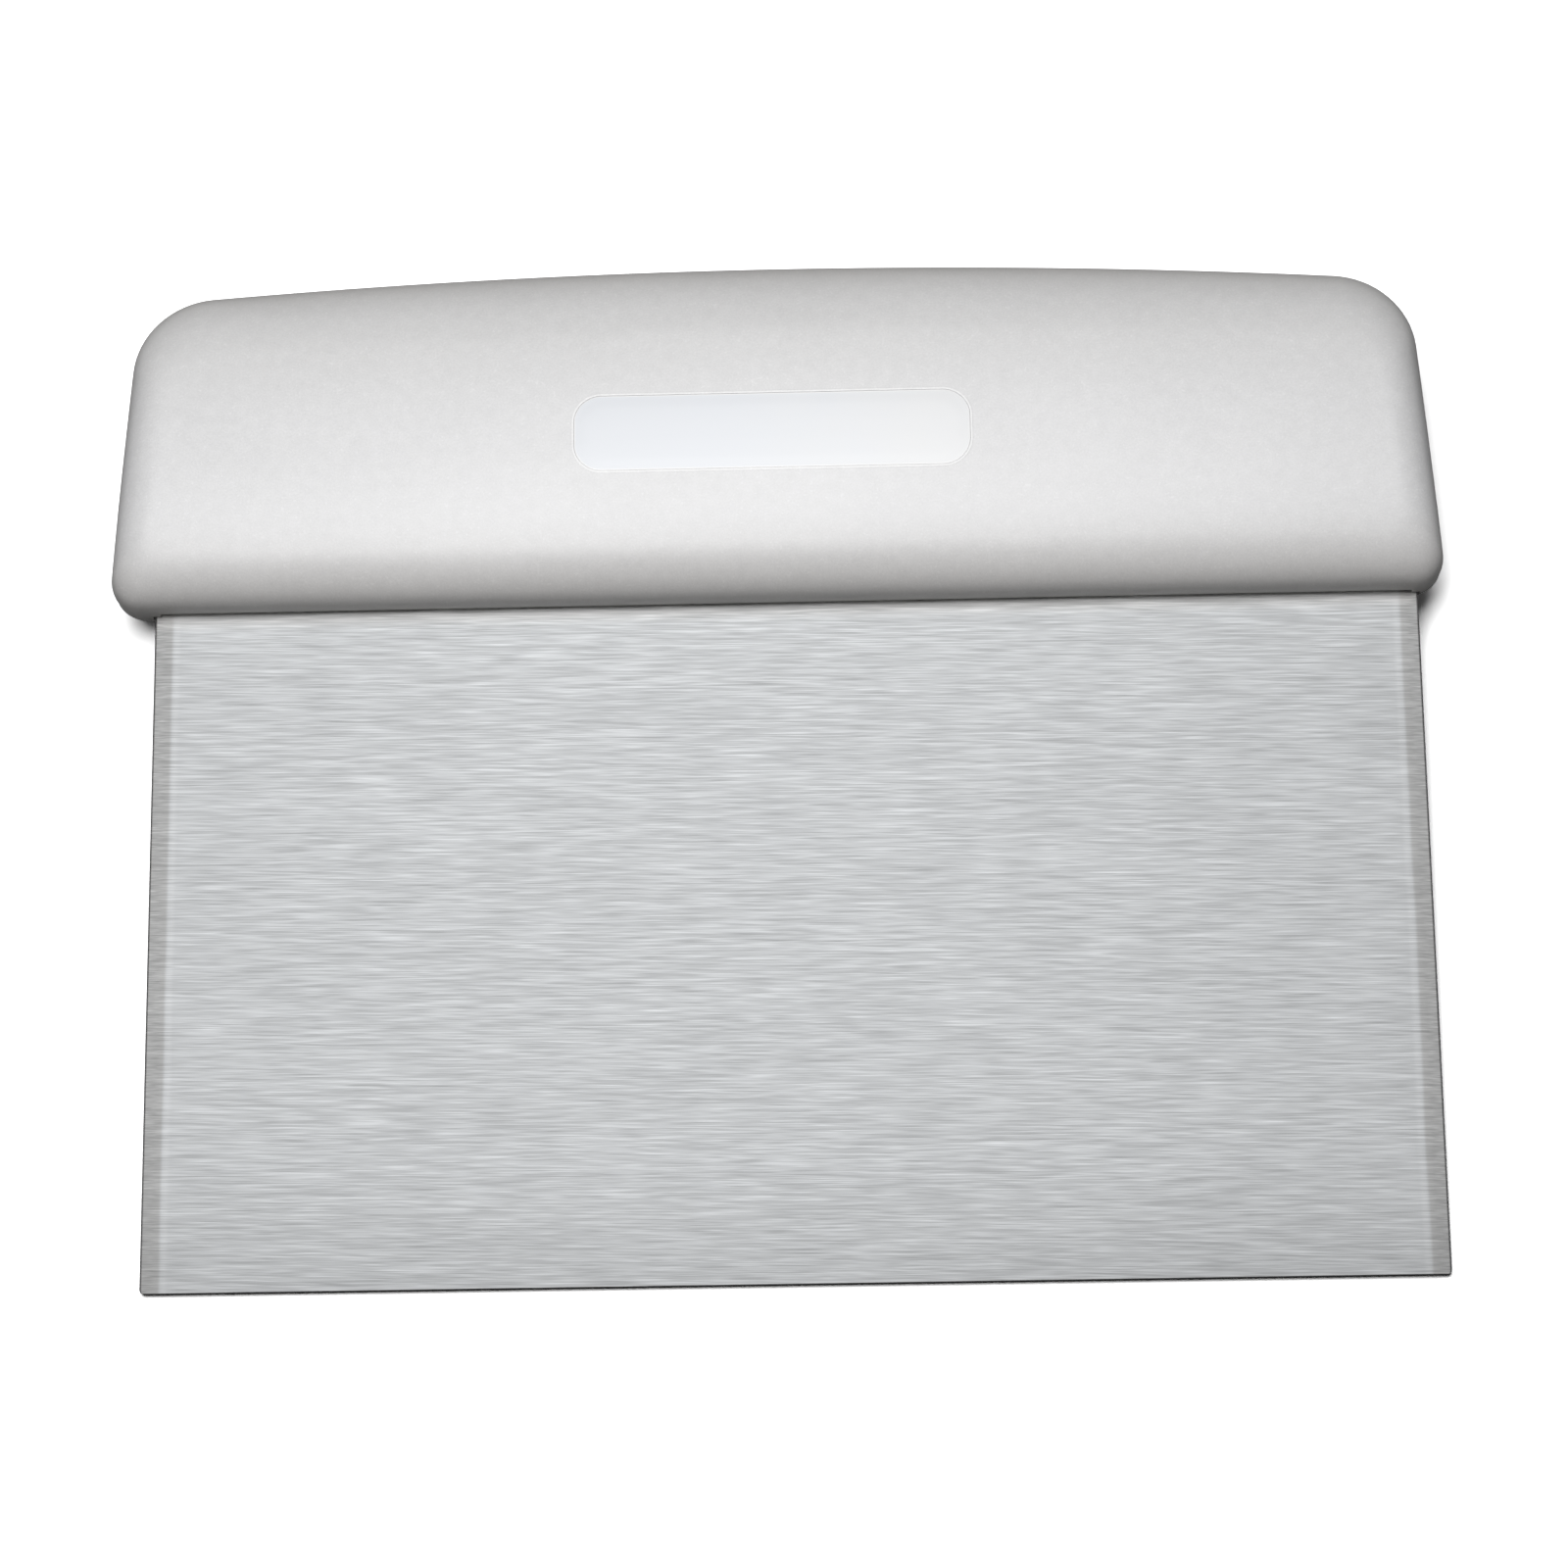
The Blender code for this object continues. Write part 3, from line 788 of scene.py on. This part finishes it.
def label_levels():
    """From the plate's rim to its middle: how far in from its outline, and above the front."""
    rim = LABEL_PROUD - LABEL_DOME
    levels = []
    for i in range(EDGE_STEPS + 1):
        turn = math.pi / 2 * i / EDGE_STEPS
        inset = LABEL_EDGE_ROUNDING * (1 - math.cos(turn))
        levels.append((inset, rim - LABEL_EDGE_ROUNDING * (1 - math.sin(turn))))
    for i in range(1, DOME_STEPS + 1):
        share = i / DOME_STEPS
        inset = LABEL_EDGE_ROUNDING + LABEL_DOME_WIDTH * share
        levels.append((inset, rim + LABEL_DOME * share**2 * (3 - 2 * share)))
    for i in range(1, ACROSS_STEPS):
        left = LABEL_HEIGHT / 2 - levels[-1][0]
        levels.append((levels[-1][0] + left / (ACROSS_STEPS + 1 - i), LABEL_PROUD))
    return levels


def build_label_plate(surface):
    """The glossy plate, which follows the handle's front and falls away a little to its edge."""
    outline = label_outline(-LABEL_SEAM)
    spine_half = (LABEL_WIDTH - LABEL_HEIGHT) / 2
    bm = bmesh.new()
    floor = HANDLE_THICKNESS / 2 - LABEL_THICKNESS
    rings = [[bm.verts.new((x, y, floor)) for x, y in outline]]
    for inset, rise in label_levels():
        ring = []
        for x, y in outline:
            target = Vector((max(-spine_half, min(spine_half, x)), LABEL_CENTRE_HEIGHT))
            inward = target - Vector((x, y))
            point = Vector((x, y)) + inward * (inset / (LABEL_HEIGHT / 2))
            ring.append(bm.verts.new((*point, front_height(surface, *point) + rise)))
        rings.append(ring)
    bm.faces.new(rings[0])
    bm.faces.new(rings[-1])
    for below, above in zip(rings, rings[1:]):
        join_rings(bm, below, above)
    plate = add_piece("label_panel", bm, label_gloss())
    lay_down(plate, LYING)
    return plate


# Table, light and camera


def build_table():
    """A table that gives little light back, and shows the camera plain white with soft shadows."""
    bm = bmesh.new()
    bmesh.ops.create_grid(bm, x_segments=1, y_segments=1, size=TABLE_SIZE / 2)
    finish = bpy.data.materials.new("white_table")
    finish.use_nodes = True
    tree = finish.node_tree
    tree.nodes.clear()
    rays = node(tree, "ShaderNodeLightPath").outputs
    direct = rays["Is Camera Ray"]
    reflected = calc(tree, "MAXIMUM", rays["Is Glossy Ray"], rays["Is Transmission Ray"])
    shown = blend(tree, reflected, (TABLE_ALBEDO,) * 3, (TABLE_REFLECTED,) * 3)
    shown = blend(tree, direct, shown, (TABLE_SEEN,) * 3)
    matte = node(tree, "ShaderNodeBsdfDiffuse", {"Color": shown})
    place = node(tree, "ShaderNodeTexCoord").outputs["Object"]
    distance = node(tree, "ShaderNodeVectorMath", {0: place}, operation="LENGTH").outputs["Value"]
    seen = calc(tree, "MAXIMUM", direct, reflected)
    far = calc(tree, "MULTIPLY", step_between(tree, distance, *TABLE_GLOW_FADE), seen)
    glow = node(tree, "ShaderNodeEmission", {"Strength": 1.0})
    both = node(tree, "ShaderNodeMixShader", {0: far, 1: matte.outputs[0], 2: glow.outputs[0]})
    node(tree, "ShaderNodeOutputMaterial", {"Surface": both.outputs[0]})
    table = add_piece("table", bm, finish)
    table.data.transform(Matrix.Translation((0, 0, -TABLE_DROP)))


def build_world():
    """Faint even light from all round; the camera sees white in its place."""
    world = bpy.data.worlds.new("studio")
    bpy.context.scene.world = world
    world.use_nodes = True
    tree = world.node_tree
    tree.nodes.clear()
    direct = node(tree, "ShaderNodeLightPath").outputs["Is Camera Ray"]
    lit = node(tree, "ShaderNodeBackground", {"Color": WHITE, "Strength": WORLD_STRENGTH})
    seen = node(tree, "ShaderNodeBackground", {"Color": WHITE, "Strength": 1.0})
    both = node(tree, "ShaderNodeMixShader", {0: direct, 1: lit.outputs[0], 2: seen.outputs[0]})
    node(tree, "ShaderNodeOutputWorld", {"Surface": both.outputs[0]})


def build_lamp():
    """The one softbox, overhead and aimed at the middle of the scraper."""
    data = bpy.data.lights.new("overhead_softbox", "AREA")
    data.shape = "RECTANGLE"
    data.size, data.size_y = LAMP_SIZE
    data.energy = LAMP_POWER
    lamp = bpy.data.objects.new("overhead_softbox", data)
    bpy.context.scene.collection.objects.link(lamp)
    lamp.location = LAMP_PLACE
    lamp.rotation_euler = (-Vector(LAMP_PLACE)).to_track_quat("-Z", "Y").to_euler()
    lamp.visible_camera = False


def build_camera():
    data = bpy.data.cameras.new("photo_view")
    data.sensor_width = CAMERA_SENSOR
    data.lens = CAMERA_LENS
    camera = bpy.data.objects.new("photo_view", data)
    bpy.context.scene.collection.objects.link(camera)
    blade_to_camera = Matrix.Translation(CAMERA_OFFSET) @ CAMERA_TURN.to_matrix().to_4x4()
    camera.matrix_world = BLADE_PLACE @ blade_to_camera.inverted()
    bpy.context.scene.camera = camera


build_camera()
build_table()
build_world()
build_lamp()

front = BVHTree.FromBMesh(handle_body())
for piece, cad_node, slot in (
    (build_blade(), "blade", "blade_steel"),
    (build_handle(front), "handle", "handle_plastic"),
    (build_label_plate(front), "label_plate", "label_gloss"),
):
    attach(piece, "root")
    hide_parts(cad_node)

bpy.context.scene.view_settings.view_transform = "Standard"
